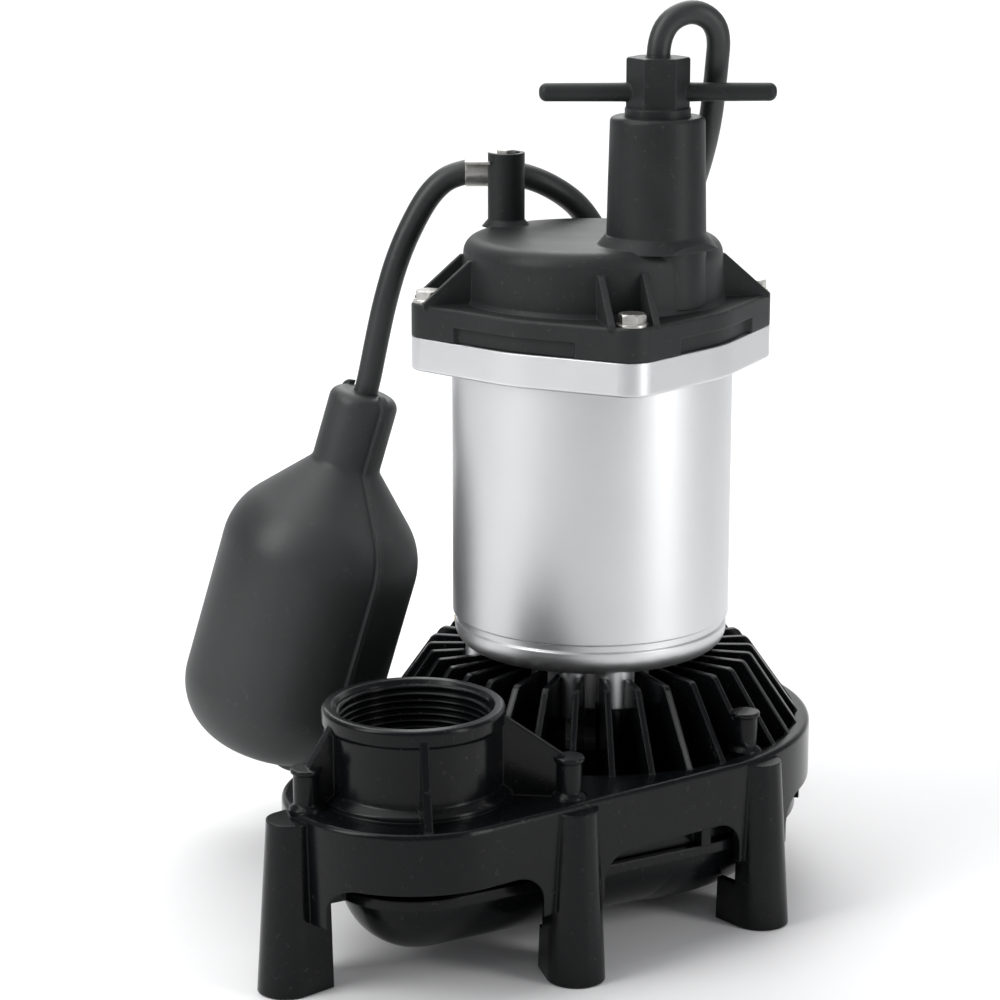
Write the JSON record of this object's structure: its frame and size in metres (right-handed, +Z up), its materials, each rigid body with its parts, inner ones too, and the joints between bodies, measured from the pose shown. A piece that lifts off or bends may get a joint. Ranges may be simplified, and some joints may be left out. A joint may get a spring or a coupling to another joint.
{
  "type": "submersible sump pump",
  "caption": "Upright submersible sump pump: legged volute base with side threaded discharge, canned motor, corded tether float switch and carried mains cord.",
  "frame": {"origin": "at the level of the floor, under the middle of the box of the pump without its free cords; the motor axis stands at x 28.9 mm, y 10.5 mm", "axes": "+Z up along the motor axis, -Y towards the front cap lug, +X towards the right cap lug"},
  "size_m": [0.2182, 0.3772, 0.2968],
  "materials": {
    "moulded_black": "glossy injection moulding",
    "cap_black": "matte moulding",
    "housing": "satin drawn can",
    "zinc": "zinc plated",
    "steel": "ground steel",
    "core": "stacked laminations",
    "rotor_bars": "cast",
    "copper": "enamelled winding wire",
    "brass": "turned",
    "bearing": "polished",
    "ceramic": "lapped",
    "rubber": "moulded rubber",
    "cord": "cord jacket",
    "impeller": "glass-filled moulding",
    "float_black": "matte blow-moulded halves",
    "inner_white": "moulded",
    "insulation": "lead insulation",
    "splice": "nylon",
    "plug_pin": "nickelled blades"
  },
  "bodies": {
    "pump": {"base_casing": "moulded_black", "volute_casing": "moulded_black", "casing_screws": "zinc", "motor_screws": "zinc", "motor_housing": "housing", "stator_core": "core", "stator_windings": "copper", "upper_bracket": "rotor_bars", "upper_bush": "brass", "bearing_outer_race": "bearing", "seal_seat": "ceramic", "motor_cap": "cap_black", "cap_screws": "zinc", "cap_seal": "rubber", "cord_clamp": "zinc", "clamp_screw": "zinc", "gland_follower": "brass", "gland_grommet": "rubber", "wire_splices": "splice", "overload_protector": "inner_white", "motor_leads": "insulation", "power_cord_tail": "cord", "power_cord_run": "cord", "float_cord_run": "cord", "float_cord_coil": "cord", "power_cord_coil": "cord", "power_cord_end": "cord", "float_cord_end": "cord", "power_plug": "cord", "power_plug_pins": "plug_pin", "float_plug": "cord", "float_plug_pins": "plug_pin"},
    "rotor": {"rotor_core": "core", "rotor_end_rings": "rotor_bars", "motor_shaft": "steel", "bearing_inner_race": "bearing", "seal_head": "rubber", "impeller": "impeller", "impeller_insert": "brass"},
    "cage": {"bearing_balls": "bearing", "bearing_cage": "brass"},
    "nut": {"gland_nut": "cap_black"},
    "float": {"float_tether": "cord", "float_front_half": "float_black", "float_back_half": "float_black", "ball_guide": "inner_white", "micro_switch": "inner_white"},
    "ball": {"float_ball": "steel"},
    "lever": {"switch_lever": "steel"}
  },
  "joints": [
    {"name": "rotor_spin", "type": "hinge", "parent": "pump", "child": "rotor", "pos_m": [0.0289, 0.0105, 0.1], "axis": [0, 0, 1], "continuous": true},
    {"name": "cage_spin", "type": "hinge", "parent": "pump", "child": "cage", "pos_m": [0.0289, 0.0105, 0.075], "axis": [0, 0, 1], "continuous": true},
    {"name": "nut_turn", "type": "hinge", "parent": "pump", "child": "nut", "pos_m": [0.0444, -0.0123, 0.268], "axis": [0, 0, 1], "range_deg": [-115, 6]},
    {"name": "float_swing", "type": "hinge", "parent": "pump", "child": "float", "pos_m": [-0.0059, 0.05409, 0.2356], "axis": [0.1942, 0.981, 0], "range_deg": [0, 100], "deforming": ["float_tether"]},
    {"name": "ball_slide", "type": "slide", "parent": "float", "child": "ball", "axis": [0.2727, -0.054, 0.9606], "range_m": [0, 0.031]},
    {"name": "lever_press", "type": "hinge", "parent": "float", "child": "lever", "pos_m": [-0.06044, 0.06386, 0.10367], "axis": [-0.0075, -0.9985, -0.054], "range_deg": [0, 8], "stiffness_Nm_per_rad": 0.002}
  ],
  "couplings": [
    {"joint": "cage_spin", "follows": "rotor_spin", "ratio": 0.3945}
  ]
}
